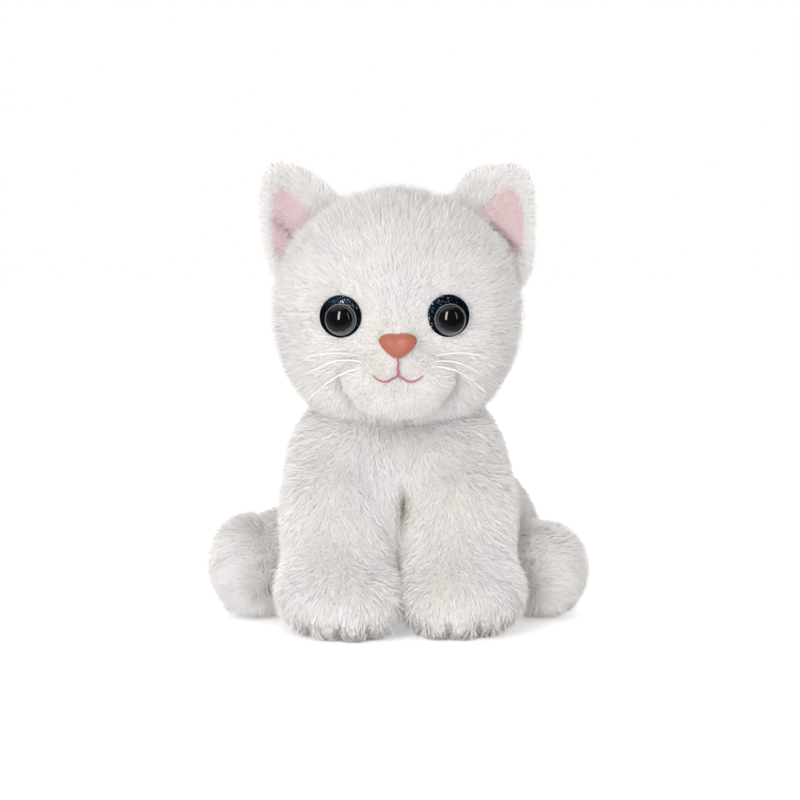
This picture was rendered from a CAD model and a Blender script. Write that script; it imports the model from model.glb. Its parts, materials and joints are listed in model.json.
import json
import math

import bmesh
import bpy
import numpy as np
from mathutils import Matrix, Vector
from mathutils.bvhtree import BVHTree


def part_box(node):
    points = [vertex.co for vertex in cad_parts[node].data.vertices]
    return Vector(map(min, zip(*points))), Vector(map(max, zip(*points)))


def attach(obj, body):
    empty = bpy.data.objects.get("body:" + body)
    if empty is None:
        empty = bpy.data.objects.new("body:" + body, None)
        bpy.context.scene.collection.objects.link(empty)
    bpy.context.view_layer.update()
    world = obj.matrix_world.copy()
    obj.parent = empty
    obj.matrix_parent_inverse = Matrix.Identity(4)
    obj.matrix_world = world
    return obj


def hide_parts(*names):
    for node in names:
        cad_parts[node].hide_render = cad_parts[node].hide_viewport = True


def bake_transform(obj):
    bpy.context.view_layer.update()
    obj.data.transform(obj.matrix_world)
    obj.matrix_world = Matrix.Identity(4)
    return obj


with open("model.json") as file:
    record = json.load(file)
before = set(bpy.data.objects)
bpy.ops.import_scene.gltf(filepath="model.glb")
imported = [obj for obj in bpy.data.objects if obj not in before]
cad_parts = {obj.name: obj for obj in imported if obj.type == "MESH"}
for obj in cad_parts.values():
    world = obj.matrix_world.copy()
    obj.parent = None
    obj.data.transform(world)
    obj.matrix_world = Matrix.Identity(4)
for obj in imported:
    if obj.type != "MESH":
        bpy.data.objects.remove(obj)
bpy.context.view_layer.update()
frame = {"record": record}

pivots = {joint["name"]: np.array(joint["pos_m"]) * 1000.0
          for joint in frame["record"]["behaviour"]["joints"]}


# Head skin. Two cheek panels and a centre gusset of knitted backing, sewn inside out, turned and
# stuffed hard. The seams stay where the needle put them and the cloth swells between them.

MM = 0.001
head_nodes = ("head_side_left", "head_side_right", "head_gusset")
backing_white = (0.86, 0.84, 0.80)
head_inset = 2.6
gusset_half_width = 13.0
eye_hollow = 1.6


def span(*nodes):
    """The box round some of the frame's nodes, in millimetres."""
    boxes = [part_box(node) for node in nodes]
    low = np.min([box[0] for box in boxes], axis=0) / MM
    high = np.max([box[1] for box in boxes], axis=0) / MM
    return low, high


def middle(*nodes):
    low, high = span(*nodes)
    return (low + high) / 2


def egg(centre, radii):
    """Distance to an egg-shaped form, in millimetres, negative inside."""
    centre, radii = np.array(centre, float), np.array(radii, float)

    def field(points):
        scaled = (points - centre) / radii
        size = np.linalg.norm(scaled, axis=-1)
        slope = np.linalg.norm(scaled / radii, axis=-1)
        return size * (size - 1) / np.maximum(slope, 1e-9)
    return field


def limb(start, end, start_radius, end_radius):
    """Distance to a round-ended limb that tapers from one radius to the other."""
    start, end = np.array(start, float), np.array(end, float)
    along = end - start

    def field(points):
        share = np.clip(((points - start) @ along) / (along @ along), 0, 1)
        nearest = start + share[..., None] * along
        radius = start_radius + (end_radius - start_radius) * share
        return np.linalg.norm(points - nearest, axis=-1) - radius
    return field


def stuffed_together(forms, softness):
    """Joins forms with a soft fillet between them, as one stuffed bag joins its lobes."""
    def field(points):
        total = forms[0](points)
        for form in forms[1:]:
            other = form(points)
            near = np.maximum(softness - np.abs(total - other), 0) / softness
            total = np.minimum(total, other) - near * near * softness / 4
        return total
    return field


def hump(points, centre, width):
    """One at the centre, fading to nothing over about twice the width."""
    offset = (points - np.array(centre, float)) / np.array(width, float)
    return np.exp(-np.sum(offset * offset, axis=-1))


def sewn_bag(name, heart, form, rings=6, reach=130.0):
    """A closed bag round its heart, whose skin lies where the form's distance is nothing."""
    shell = bmesh.new()
    bmesh.ops.create_icosphere(shell, subdivisions=rings, radius=1.0)
    ways = np.array([vert.co for vert in shell.verts])
    ways /= np.linalg.norm(ways, axis=1)[:, None]
    heart = np.array(heart, float)
    steps = np.linspace(0, reach, 110)
    inside = np.array([form(heart + ways * step) < 0 for step in steps])
    last = len(steps) - 1 - np.argmax(inside[::-1], axis=0)
    near, far = steps[last], steps[np.minimum(last + 1, len(steps) - 1)]
    for _ in range(12):
        half = (near + far) / 2
        within = form(heart + ways * half[:, None]) < 0
        near, far = np.where(within, half, near), np.where(within, far, half)
    for vert, point in zip(shell.verts, heart + ways * near[:, None]):
        vert.co = Vector(point * MM)
    return finished(name, as_mesh(name, shell))


def as_mesh(name, shell):
    """Turns a shell into a mesh and lets the shell go."""
    mesh = bpy.data.meshes.new(name)
    shell.to_mesh(mesh)
    shell.free()
    return mesh


def finished(name, mesh, *materials):
    """Puts a mesh into the scene as a smooth-shaded piece."""
    for polygon in mesh.polygons:
        polygon.use_smooth = True
    piece = bpy.data.objects.new(name, mesh)
    bpy.context.collection.objects.link(piece)
    for material in materials:
        mesh.materials.append(material)
    return piece


def skin_points(piece):
    """The skin's points in millimetres, and its outward normals."""
    mesh = piece.data
    points = np.empty(len(mesh.vertices) * 3)
    mesh.vertices.foreach_get("co", points)
    normals = np.empty(len(mesh.vertices) * 3)
    mesh.vertex_normals.foreach_get("vector", normals)
    return points.reshape(-1, 3) / MM, normals.reshape(-1, 3)


def set_points(piece, points):
    piece.data.vertices.foreach_set("co", (points * MM).ravel())
    piece.data.update()


def press(piece, change):
    """Pushes the skin in or out along its normals by what change(points) gives in millimetres."""
    points, normals = skin_points(piece)
    set_points(piece, points + normals * change(points)[:, None])


def swell(piece, on_seam, most=1.6):
    """Blows the cloth up between its seams; no point moves by more than most, in millimetres."""
    start, _ = skin_points(piece)
    seam = piece.vertex_groups.new(name="seam")
    seam.add([int(i) for i in np.nonzero(on_seam(start))[0]], 1.0, "REPLACE")
    cloth = piece.modifiers.new("stuffing", "CLOTH")
    cloth.settings.quality = 4
    cloth.settings.mass = 0.01
    cloth.settings.use_pressure = True
    cloth.settings.uniform_pressure_force = 6000
    cloth.settings.effector_weights.gravity = 0
    cloth.settings.tension_stiffness = 5
    cloth.settings.compression_stiffness = 5
    cloth.settings.shear_stiffness = 2
    cloth.settings.bending_stiffness = 0.4
    cloth.settings.vertex_group_mass = "seam"
    cloth.collision_settings.use_collision = False
    for step in range(1, 21):
        bpy.context.scene.frame_set(step)
    graph = bpy.context.evaluated_depsgraph_get()
    blown = bpy.data.meshes.new_from_object(piece.evaluated_get(graph))
    after = np.empty(len(blown.vertices) * 3)
    blown.vertices.foreach_get("co", after)
    shift = after.reshape(-1, 3) / MM - start
    length = np.linalg.norm(shift, axis=1)[:, None]
    shift *= np.minimum(1, most / np.maximum(length, 1e-6))
    piece.modifiers.clear()
    piece.vertex_groups.clear()
    bpy.data.meshes.remove(blown)
    bpy.context.scene.frame_set(1)
    set_points(piece, start + shift)


def new_material(name):
    material = bpy.data.materials.new(name)
    material.use_nodes = True
    return material, material.node_tree, material.node_tree.nodes["Principled BSDF"]


def node(tree, kind, **settings):
    """Adds a node; a setting that starts with a capital is an input, another is a property."""
    made = tree.nodes.new(kind)
    for key, value in settings.items():
        if key[0].isupper():
            made.inputs[key.replace("_", " ")].default_value = value
        else:
            setattr(made, key, value)
    return made


def join(tree, *wires):
    """Links nodes; a wire is a node, its output, the next node and that one's input."""
    for source, given, target, taken in wires:
        tree.links.new(source.outputs[given], target.inputs[taken])


def new_group(name, inputs, outputs):
    """A shader node group with named float, colour and vector sockets."""
    group = bpy.data.node_groups.new(name, "ShaderNodeTree")
    kinds = {"f": "NodeSocketFloat", "c": "NodeSocketColor", "v": "NodeSocketVector"}
    for label, kind, value in inputs:
        socket = group.interface.new_socket(label, in_out="INPUT", socket_type=kinds[kind])
        if value is not None:
            socket.default_value = value
    for label, kind in outputs:
        group.interface.new_socket(label, in_out="OUTPUT", socket_type=kinds[kind])
    return group, group.nodes.new("NodeGroupInput"), group.nodes.new("NodeGroupOutput")


def cloth_grain_group():
    """Knitted ground: fine crossed ribs, a soft mottle, and the height for a bump."""
    group, given, out = new_group(
        "knitted_ground",
        [("Colour", "c", (0.8, 0.8, 0.8, 1)), ("Rib Scale", "f", 900.0), ("Mottle", "f", 0.08)],
        [("Colour", "c"), ("Height", "f"), ("Roughness", "f")])
    place = node(group, "ShaderNodeTexCoord")
    ribs = node(group, "ShaderNodeTexWave", bands_direction="DIAGONAL", Distortion=1.5, Detail=1.0)
    patches = node(group, "ShaderNodeTexNoise", Scale=120.0, Detail=4.0)
    darker = node(group, "ShaderNodeMath", operation="MULTIPLY_ADD")
    tone = node(group, "ShaderNodeHueSaturation")
    height = node(group, "ShaderNodeMath", operation="MULTIPLY_ADD")
    height.inputs[1].default_value = 0.6
    rough = node(group, "ShaderNodeMapRange", To_Min=0.82, To_Max=0.98)
    join(group, (place, "Object", ribs, "Vector"), (given, "Rib Scale", ribs, "Scale"),
         (place, "Object", patches, "Vector"), (patches, "Fac", darker, 0),
         (given, "Mottle", darker, 1))
    darker.inputs[2].default_value = 0.94
    join(group, (darker, 0, tone, "Value"), (given, "Colour", tone, "Color"),
         (ribs, "Fac", height, 0), (patches, "Fac", height, 2), (patches, "Fac", rough, "Value"),
         (tone, "Color", out, "Colour"), (height, 0, out, "Height"),
         (rough, "Result", out, "Roughness"))
    return group


knitted_ground = cloth_grain_group()


def cloth_material(name, colour, rib_scale=900.0, sheen=0.3):
    """Knitted cloth, turned tan where the skin's seam_tan attribute says that glue was rubbed in."""
    material, tree, surface = new_material(name)
    grain = node(tree, "ShaderNodeGroup", node_tree=knitted_ground, Rib_Scale=rib_scale)
    rubbed = node(tree, "ShaderNodeAttribute", attribute_name="seam_tan")
    ground = node(tree, "ShaderNodeMix", data_type="RGBA")
    ground.inputs["A"].default_value = (*colour, 1)
    ground.inputs["B"].default_value = (0.15, 0.105, 0.05, 1)
    join(tree, (rubbed, "Fac", ground, "Factor"), (ground, "Result", grain, "Colour"))
    bump = node(tree, "ShaderNodeBump", Strength=0.4, Distance=0.0003)
    join(tree, (grain, "Colour", surface, "Base Color"),
         (grain, "Roughness", surface, "Roughness"), (grain, "Height", bump, "Height"),
         (bump, "Normal", surface, "Normal"))
    surface.inputs["Sheen Weight"].default_value = sheen
    return material


backing = cloth_material("plush_backing", backing_white)
head_low, head_high = span(*head_nodes)
head_y = (head_low[1] + head_high[1]) / 2
crown = head_high[2]
upper_head = egg((-0.5, head_y, crown - 46), (48.5 - head_inset, 43 - head_inset, 47.2 - head_inset))
full_cheeks = egg((-0.2, head_y - 4, crown - 64), (40.4 - head_inset, 37 - head_inset, 31))
head_form = stuffed_together([upper_head, full_cheeks], 14)
eye_shift = np.array([-1.0, 0, 0])
eyes = {side: middle(f"eye_glitter_disc_{side}") + eye_shift for side in ("left", "right")}
head_skin = sewn_bag("head_skin", (0, head_y, crown - 50), head_form)
press(head_skin, lambda p: -eye_hollow * sum(hump(p, eye, (10, 12, 10)) for eye in eyes.values()))
press(head_skin, lambda p: 1.6 * hump(p, (0, head_low[1] + 3, crown - 30), (20, 20, 10)))
swell(head_skin, lambda p: np.abs(np.abs(p[:, 0]) - gusset_half_width) < 0.9)
head_skin.data.materials.append(backing)
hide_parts(*head_nodes, "head_stuffing")
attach(head_skin, "head")


# Muzzle and chin. Short-pile pieces sewn to the face over their own fill: a narrow bridge that
# runs up between the eyes, two low mounds under the nose, and a small round chin.

muzzle_low, muzzle_high = span("muzzle_panel")
muzzle_front = muzzle_low[1]
muzzle_z = (muzzle_low[2] + muzzle_high[2]) / 2


def muzzle_forms():
    mounds = [egg((side * 8.5, muzzle_front + 15.5, muzzle_z - 3), (13, 14, 9.5))
              for side in (-1, 1)]
    bridge = egg((0, muzzle_front + 16, muzzle_z + 9), (10, 13, 14))
    chin = egg((0, muzzle_front + 15.0, muzzle_z - 10.5), (15.5, 13, 7.5))
    backing_pad = egg((0, muzzle_front + 24, muzzle_z), (20, 10, 15))
    return mounds + [bridge, chin, backing_pad]


def on_join(form, width, below):
    """One where points lie on the form's surface and low on the face, fading over the width."""
    def share(points):
        low = np.clip((below - points[:, 2]) / 5, 0, 1)
        return low * np.exp(-(form(points) / width) ** 2)
    return share


def rub_tan(piece, where):
    """Marks where glue was rubbed into the backing along a seam, as shares from nothing to one."""
    layer = piece.data.attributes.new("seam_tan", "FLOAT", "POINT")
    layer.data.foreach_set("value", where(skin_points(piece)[0]))


muzzle_form = stuffed_together(muzzle_forms(), 5)
smile_height = muzzle_z + 1.0
rub_tan(head_skin, lambda p: 0.7 * on_join(muzzle_form, 2.6, smile_height)(p))
press(head_skin, lambda p: -3.4 * on_join(muzzle_form, 3.2, smile_height)(p))
chin_seam = (3.0, head_low[1] + 20, muzzle_z - 22)
press(head_skin, lambda p: -1.8 * hump(p, chin_seam, (1.6, 20, 5)))
muzzle_skin = sewn_bag("muzzle_skin", (0, muzzle_front + 20, muzzle_z), muzzle_form)
press(muzzle_skin, lambda p: -0.9 * hump(p, (0, muzzle_front, muzzle_z - 2), (1.6, 20, 5)))
press(muzzle_skin, lambda p: -0.8 * hump(p, (0, muzzle_front + 3, muzzle_z - 7.5), (9, 20, 1.8)))
muzzle_skin.data.materials.append(backing)
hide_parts("muzzle_panel", "chin_panel", "muzzle_stuffing")
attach(muzzle_skin, "head")


# Body skin. A left and a right panel joined by a seam down the chest and back, over the fibre
# fill and the pellet pouch that lets the rump settle flat.

neck_mid = middle("neck_stuffing")
seat_mid = middle("seat_panel")
sole_height = 0.8
body_inset = 3.2
fillet = 18.0
leg_side = {"left": 1, "right": -1}
paw_back = {"left": 3.5, "right": -0.5}


def foreleg_form(side):
    """A broad column from the shoulder down to a round paw."""
    sign = leg_side[side]
    top = pivots[f"front_leg_lift_{side}"]
    ankle = top + np.array([sign * 1.0, -13.0, -27.0])
    back = paw_back[side]
    paw = egg((sign * 26.0 + 1.4, back - 61, 14.5), (21.5, 20.5, 13.8))
    toes = egg((sign * 18 + 1.4, back - 68, 12.0), (14, 14, 11.2))
    return stuffed_together([limb(top, ankle, 18.5, 19), paw, toes], 10)


def hindleg_form(side):
    """The hind leg lies outwards and forwards from the hip and ends in an upturned foot."""
    sign = leg_side[side]
    hip = pivots[f"hind_leg_lift_{side}"]
    rise = {"left": 0.5, "right": 3.0}[side]
    foot = hip + np.array([sign * 18.5, -17.0, -0.5])
    toes = foot + np.array([sign * 3.5, -2.5, 2.0 + rise])
    haunch = hip + np.array([sign * 7.5, -16.0, 8.5 + rise])
    fullness = {"left": 16.0, "right": 17.4}[side]
    return stuffed_together([limb(hip, foot, 16, 15.5), egg(toes, (14.2, 14, fullness)),
                             egg(haunch, (10.5, 13, 12.5))], 5)


def fair_to(piece, neighbour, softness=fillet):
    """Fills the valley where the piece meets its neighbour, so that the two read as one shape."""
    def change(points):
        near = np.maximum(1 - np.abs(neighbour(points)) / softness, 0)
        return near * near * softness / 4
    press(piece, change)


def stand_on_floor(piece, lowest=sole_height):
    """Flattens what would go through the surface that the cat sits on."""
    points, _ = skin_points(piece)
    points[:, 2] = np.maximum(points[:, 2], lowest)
    set_points(piece, points)


chest = egg(neck_mid + (-1, 0, -30), (43.5 - body_inset, 32 - body_inset, 50 - body_inset))
shoulders = egg(neck_mid + (-0.5, 1, -13), (35.2, 25, 15))
rump = egg(seat_mid + (1.5, 0, 31), (48 - body_inset, 40 - body_inset, 37.5 - body_inset))
trunk_form = stuffed_together([chest, shoulders, rump], 16)
legs_form = stuffed_together([foreleg_form("left"), foreleg_form("right")], 4)
body_skin = sewn_bag("body_skin", (2, -16, 42), trunk_form)
fair_to(body_skin, legs_form)
swell(body_skin, lambda p: np.abs(p[:, 0] - 1) < 0.8)
stand_on_floor(body_skin)
chest_gap = np.array([2.4, -66.0, 52.0])


def in_chest_gap(points, spread=1.0, above=0.0):
    """One at the small hole where the two leg tops and the chest meet, and down the seam below."""
    hole = hump(points, chest_gap + (0, 0, above), (1.7 * spread, 26, 4.4 * spread))
    return np.clip(hole + 0.5 * hump(points, chest_gap - (0.9, 0, 12), (1.0, 26, 9)), 0, 1)


rub_tan(body_skin, lambda p: in_chest_gap(p, spread=1.3))
press(body_skin, lambda p: -4.0 * in_chest_gap(p))
body_skin.data.materials.append(backing)
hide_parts("body_side_left", "body_side_right", "seat_panel", "body_stuffing")
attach(body_skin, "torso")


# Weight pouch and inner fill. A cotton bag of plastic pellets under the fibre keeps the rump down,
# and a tight roll of fill stiffens the neck. Neither shows once the back is closed.


def refinish(nodes, material):
    """Gives parts of the frame their finish, in every slot that they have."""
    for name in nodes:
        for slot in bpy.data.objects[name].material_slots:
            slot.material = material


def speckled_material(name, dark, light, scale, rough_low, rough_high):
    """Moulded plastic or loose fibre: two near tones in a fine speckle, with an uneven gloss."""
    material, tree, surface = new_material(name)
    place = node(tree, "ShaderNodeTexCoord")
    speckle = node(tree, "ShaderNodeTexNoise", Scale=scale, Detail=5.0)
    tone = node(tree, "ShaderNodeMix", data_type="RGBA")
    tone.inputs["A"].default_value = (*dark, 1)
    tone.inputs["B"].default_value = (*light, 1)
    gloss = node(tree, "ShaderNodeMapRange", To_Min=rough_low, To_Max=rough_high)
    bump = node(tree, "ShaderNodeBump", Strength=0.3, Distance=0.0002)
    join(tree, (place, "Object", speckle, "Vector"), (speckle, "Fac", tone, "Factor"),
         (speckle, "Fac", gloss, "Value"), (speckle, "Fac", bump, "Height"),
         (tone, "Result", surface, "Base Color"), (gloss, "Result", surface, "Roughness"),
         (bump, "Normal", surface, "Normal"))
    return material


refinish(["pellet_pouch"], cloth_material("pouch_cotton", (0.74, 0.71, 0.64), rib_scale=1200.0))
refinish(["pellets"], speckled_material("pellet_plastic", (0.60, 0.62, 0.63), (0.78, 0.79, 0.80),
                                        700.0, 0.35, 0.55))
refinish(["neck_stuffing"], speckled_material("fibre_fill", (0.80, 0.79, 0.77), (0.92, 0.91, 0.90),
                                              350.0, 0.85, 1.0))


# Front legs. Each is a bag of its own, faired into the chest, with three stitches pulled through
# the paw to part the toes.

toe_gaps = {"right": (-35.5, -23.5, -11.5), "left": (9.0, 20.5, 32.5)}


def toe_lines(side):
    """Middle of each toe stitch, across the front of the paw."""
    return [np.array([across, paw_back[side] - 79.0, 6.5]) for across in toe_gaps[side]]


def bend_with_front_leg(piece):
    """Bends a piece from just above and behind the shoulder pivot to just below and before it."""
    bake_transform(piece)


foreleg_skins = {}
for side in ("left", "right"):
    sign = leg_side[side]
    leg = sewn_bag(f"front_leg_skin_{side}", (sign * 25.5, -50, 32), foreleg_form(side), rings=6)
    fair_to(leg, trunk_form)
    swell(leg, lambda p, s=sign: np.abs(p[:, 0] - s * 25.5) < 0.9, most=1.2)
    for spot in toe_lines(side):
        press(leg, lambda p, c=spot: -2.1 * hump(p, c, (2.3, 10, 7)))
    rub_tan(leg, lambda p: in_chest_gap(p, spread=1.3))
    press(leg, lambda p: -3.0 * in_chest_gap(p))
    stand_on_floor(leg)
    leg.data.materials.append(backing)
    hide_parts(f"front_leg_skin_{side}", f"front_leg_stuffing_{side}")
    bend_with_front_leg(leg)
    foreleg_skins[side] = leg


# Hind legs. Stuffed bags sewn on at the hips, lying out to the sides with the feet turned up, and
# one tight stitch that puckers the sole.

def sole_pucker(side):
    """Where the tight stitch draws the sole in."""
    return pivots[f"hind_leg_lift_{side}"] + np.array([leg_side[side] * 13.5, -34.0, -7.5])


def bend_with_hind_leg(piece):
    """Bends a piece from the hip pivot to a little outwards and forwards of it."""
    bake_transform(piece)


hindleg_skins = {}
for side in ("left", "right"):
    sign = leg_side[side]
    hip = pivots[f"hind_leg_lift_{side}"]
    leg = sewn_bag(f"hind_leg_skin_{side}", hip + (sign * 10, -9, 1), hindleg_form(side), rings=5)
    swell(leg, lambda p, z=hip[2]: np.abs(p[:, 2] - z) < 0.9, most=1.2)
    press(leg, lambda p, c=sole_pucker(side): -4.2 * hump(p, c, (3.2, 12, 2.6)))
    stand_on_floor(leg)
    leg.data.materials.append(backing)
    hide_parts(f"hind_leg_skin_{side}", f"hind_leg_stuffing_{side}")
    bend_with_hind_leg(leg)
    hindleg_skins[side] = leg


# Tail. A narrow tube of the same plush, lightly stuffed, that curls on the floor behind.

tail_root = pivots["tail_swing"]
tail_curl_radius = 30.0
tail_turn = math.radians(130)
tail_thick = 6.2
weld_gap = 0.00002


def tube_wall(shell, rows):
    """Closes the wall of a tube between its rows of points, each a full turn."""
    for below, above in zip(rows, rows[1:]):
        for step in range(len(below)):
            after = (step + 1) % len(below)
            shell.faces.new((below[step], below[after], above[after], above[step]))


def tail_line(share):
    """A point along the middle of the tail, from inside the rump to the tip."""
    angle = max(share, 0) * tail_turn
    centre = tail_root + np.array([-tail_curl_radius, 0, 0])
    lead = np.array([0, min(share, 0) * 30.0, 0])
    return centre + tail_curl_radius * np.array([math.cos(angle), math.sin(angle), 0]) + lead


def tail_mesh():
    """A closed tube with rounded ends that swells a little before its tip."""
    rings, around = 60, 28
    shell = bmesh.new()
    rows = []
    for number in range(rings + 1):
        share = -0.15 + 1.23 * number / rings
        here, ahead = tail_line(share), tail_line(share + 0.01)
        way = (ahead - here) / np.linalg.norm(ahead - here)
        side = np.cross(way, (0, 0, 1))
        end = min(number, rings - number) / rings * 9
        radius = tail_thick * (1 - 0.12 * abs(share - 0.6)) * math.sqrt(1 - max(1 - end, 0) ** 2)
        row = []
        for step in range(around):
            angle = 2 * math.pi * step / around
            point = here + radius * (math.cos(angle) * side + math.sin(angle) * np.array([0, 0, 1]))
            row.append(shell.verts.new(Vector(point * MM)))
        rows.append(row)
    tube_wall(shell, rows)
    bmesh.ops.remove_doubles(shell, verts=shell.verts, dist=weld_gap)
    bmesh.ops.recalc_face_normals(shell, faces=shell.faces)
    return as_mesh("tail_skin", shell)


def bend_with_tail(piece):
    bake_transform(piece)


tail_skin = finished("tail_skin_piece", tail_mesh(), backing)
stand_on_floor(tail_skin)
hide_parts("tail_skin", "tail_stuffing")
bend_with_tail(tail_skin)


# Ears. Long-pile backs that wrap round the rim, each sewn to the crown along its slanting base
# and pinched there, so that the front is a shallow cup.

ear_rim = {
    "right": ((-22, 170), (-27.5, 176.5), (-33.5, 182.5), (-41, 187.3), (-47.6, 189),
              (-51.8, 187.5), (-54.4, 182.5), (-55.4, 174), (-54.6, 165), (-52, 154),
              (-49.5, 147), (-45, 144), (-32, 158)),
    "left": ((19, 171), (24.5, 177), (28.5, 183), (32.5, 186.2), (39, 187.6), (45.5, 188.4),
             (50, 187.2), (53.4, 182.5), (54.4, 174), (54, 163), (53.5, 153), (51.3, 145),
             (45, 141), (32, 157)),
}
pink_edge = {
    "right": ((-47.5, 182), (-41, 177), (-33.5, 167.5), (-41, 158), (-47, 148.5), (-49, 148),
              (-51.2, 158), (-52.4, 169), (-52, 177)),
    "left": ((46, 182), (39.5, 177), (30.5, 169), (33, 165), (40, 159), (46, 151),
             (49, 148.5), (51.2, 157), (52, 166), (51, 176)),
}
ear_fold_line = {"right": ((-49.5, 166.0), (-40.5, 159.0)),
                 "left": ((38.0, 164.5), (48.0, 155.0))}
rim_points = 84


def smooth_loop(corners, count=rim_points):
    """A closed smooth line through the corners, as evenly numbered points."""
    corners = np.array(corners, float)
    total = len(corners)
    place = np.arange(count) * total / count
    first = place.astype(int)
    share = (place - first)[:, None]
    a, b, c, d = (corners[(first + step) % total] for step in (-1, 0, 1, 2))
    return 0.5 * (2 * b + (c - a) * share + (2 * a - 5 * b + 4 * c - d) * share ** 2
                  + (3 * b - a - 3 * c + d) * share ** 3)


def faced_form(name, outline, front, back, rings=12, around=rim_points):
    """A closed form with an outline in the XZ plane and a shaped front and back."""
    rim = smooth_loop(outline, around)
    heart = rim.mean(axis=0)
    shell = bmesh.new()
    for depth in (front, back):
        centre = shell.verts.new(Vector((heart[0], depth(heart[0], heart[1], 0.0), heart[1])) * MM)
        rows = []
        for ring in range(1, rings + 1):
            share = math.sin(ring / rings * math.pi / 2)
            flat = heart + (rim - heart) * share
            rows.append([shell.verts.new(Vector((x, depth(x, z, share), z)) * MM) for x, z in flat])
        for step in range(around):
            shell.faces.new((centre, rows[0][step], rows[0][(step + 1) % around]))
        for inner, outer in zip(rows, rows[1:]):
            for step in range(around):
                after = (step + 1) % around
                shell.faces.new((inner[step], outer[step], outer[after], inner[after]))
    bmesh.ops.remove_doubles(shell, verts=shell.verts, dist=weld_gap)
    bmesh.ops.recalc_face_normals(shell, faces=shell.faces)
    if shell.calc_volume(signed=True) < 0:
        bmesh.ops.reverse_faces(shell, faces=shell.faces)
    return finished(name, as_mesh(name, shell))


def ear_faces(side):
    """Depth of the ear's front and back at a place on its outline's plane."""
    low, high = span(f"ear_back_{side}")
    centre = smooth_loop(ear_rim[side]).mean(axis=0)
    base = (low[1] + high[1]) / 2 + 1
    start, end = (np.array(point) for point in ear_fold_line[side])

    def cup(x, z):
        return -0.010 * (x - centre[0]) ** 2 + 0.06 * (z - centre[1])

    def fold(x, z):
        along = np.clip(np.dot((x, z) - start, end - start) / np.dot(end - start, end - start), 0, 1)
        off = math.dist((x, z), start + along * (end - start))
        return 2.6 * math.exp(-(off / 1.7) ** 2) - 1.3 * math.exp(-((off - 4.0) / 2.6) ** 2)

    def front(x, z, share):
        rim = math.sqrt(max(1 - share ** 4, 0))
        return base + cup(x, z) - 4.2 * rim + 4.4 * (1 - share ** 2) + fold(x, z) * rim

    def back(x, z, share):
        return base + cup(x, z) + 4.0 * math.sqrt(max(1 - share ** 4, 0))
    return front, back


def ear_up(side):
    """The way from the ear's seam towards its tip."""
    return np.array((leg_side[side] * 0.778, 0.0, 0.628))


def bend_with_ear(piece):
    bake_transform(piece)


ear_skins = {}
for side in ("left", "right"):
    front, back = ear_faces(side)
    ear = faced_form(f"ear_skin_{side}", ear_rim[side], front, back)
    ear.data.materials.append(backing)
    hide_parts(f"ear_back_{side}")
    bend_with_ear(ear)
    ear_skins[side] = ear


# Pile. White acrylic fibres, knitted into the backing and brushed: longest on cheeks and chest,
# clipped round the eyes and on the muzzle. Every fibre is a tapered, bent blade.

pile_white = (0.955, 0.942, 0.925)
root_shade = (0.92, 0.90, 0.87)
fibre_width = 0.25
clip_floor = 0.25


def tone_ramp(tree, *stops):
    """A colour ramp through stops, each a place from nothing to one and its colour."""
    ramp = node(tree, "ShaderNodeValToRGB")
    elements = ramp.color_ramp.elements
    for number, (place, colour) in enumerate(stops):
        element = elements[number] if number < 2 else elements.new(place)
        element.position = place
        element.color = (*colour, 1)
    return ramp


def pile_tone_group():
    """Fibre colour: shaded at the root, white at the tip, with a faint warm and cool mottle."""
    group, given, out = new_group(
        "pile_tone",
        [("Root", "c", (0.8, 0.8, 0.8, 1)), ("Tip", "c", (0.9, 0.9, 0.9, 1)),
         ("Mottle", "f", 0.5)],
        [("Colour", "c"), ("Roughness", "f")])
    along = node(group, "ShaderNodeAttribute", attribute_name="tip_share")
    ramp = node(group, "ShaderNodeMapRange", From_Min=0.0, From_Max=0.55)
    mix = node(group, "ShaderNodeMix", data_type="RGBA")
    place = node(group, "ShaderNodeTexCoord")
    patches = node(group, "ShaderNodeTexNoise", Scale=38.0, Detail=3.0)
    tint = tone_ramp(group, (0.35, (0.985, 0.975, 1.0)), (0.65, (1.0, 0.992, 0.975)))
    multiply = node(group, "ShaderNodeMix", data_type="RGBA", blend_type="MULTIPLY")
    matted = node(group, "ShaderNodeAttribute", attribute_name="matted")
    dulled = node(group, "ShaderNodeMix", data_type="RGBA", blend_type="MULTIPLY")
    dulled.inputs["B"].default_value = (0.26, 0.19, 0.10, 1)
    rough = node(group, "ShaderNodeMapRange", To_Min=0.62, To_Max=0.8)
    join(group, (along, "Fac", ramp, "Value"), (ramp, "Result", mix, "Factor"),
         (given, "Root", mix, "A"), (given, "Tip", mix, "B"),
         (place, "Object", patches, "Vector"), (patches, "Fac", tint, "Fac"),
         (given, "Mottle", multiply, "Factor"), (mix, "Result", multiply, "A"),
         (tint, "Color", multiply, "B"), (patches, "Fac", rough, "Value"),
         (matted, "Fac", dulled, "Factor"), (multiply, "Result", dulled, "A"),
         (dulled, "Result", out, "Colour"), (rough, "Result", out, "Roughness"))
    return group


pile_tone = pile_tone_group()


def pile_material(name, root, tip, mottle=1.0):
    material, tree, surface = new_material(name)
    tone = node(tree, "ShaderNodeGroup", node_tree=pile_tone, Root=(*root, 1), Tip=(*tip, 1),
                Mottle=mottle)
    join(tree, (tone, "Colour", surface, "Base Color"), (tone, "Roughness", surface, "Roughness"))
    surface.inputs["Sheen Weight"].default_value = 0.15
    surface.inputs["Specular IOR Level"].default_value = 0.25
    return material


long_pile = pile_material("white_long_pile", root_shade, pile_white)


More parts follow.
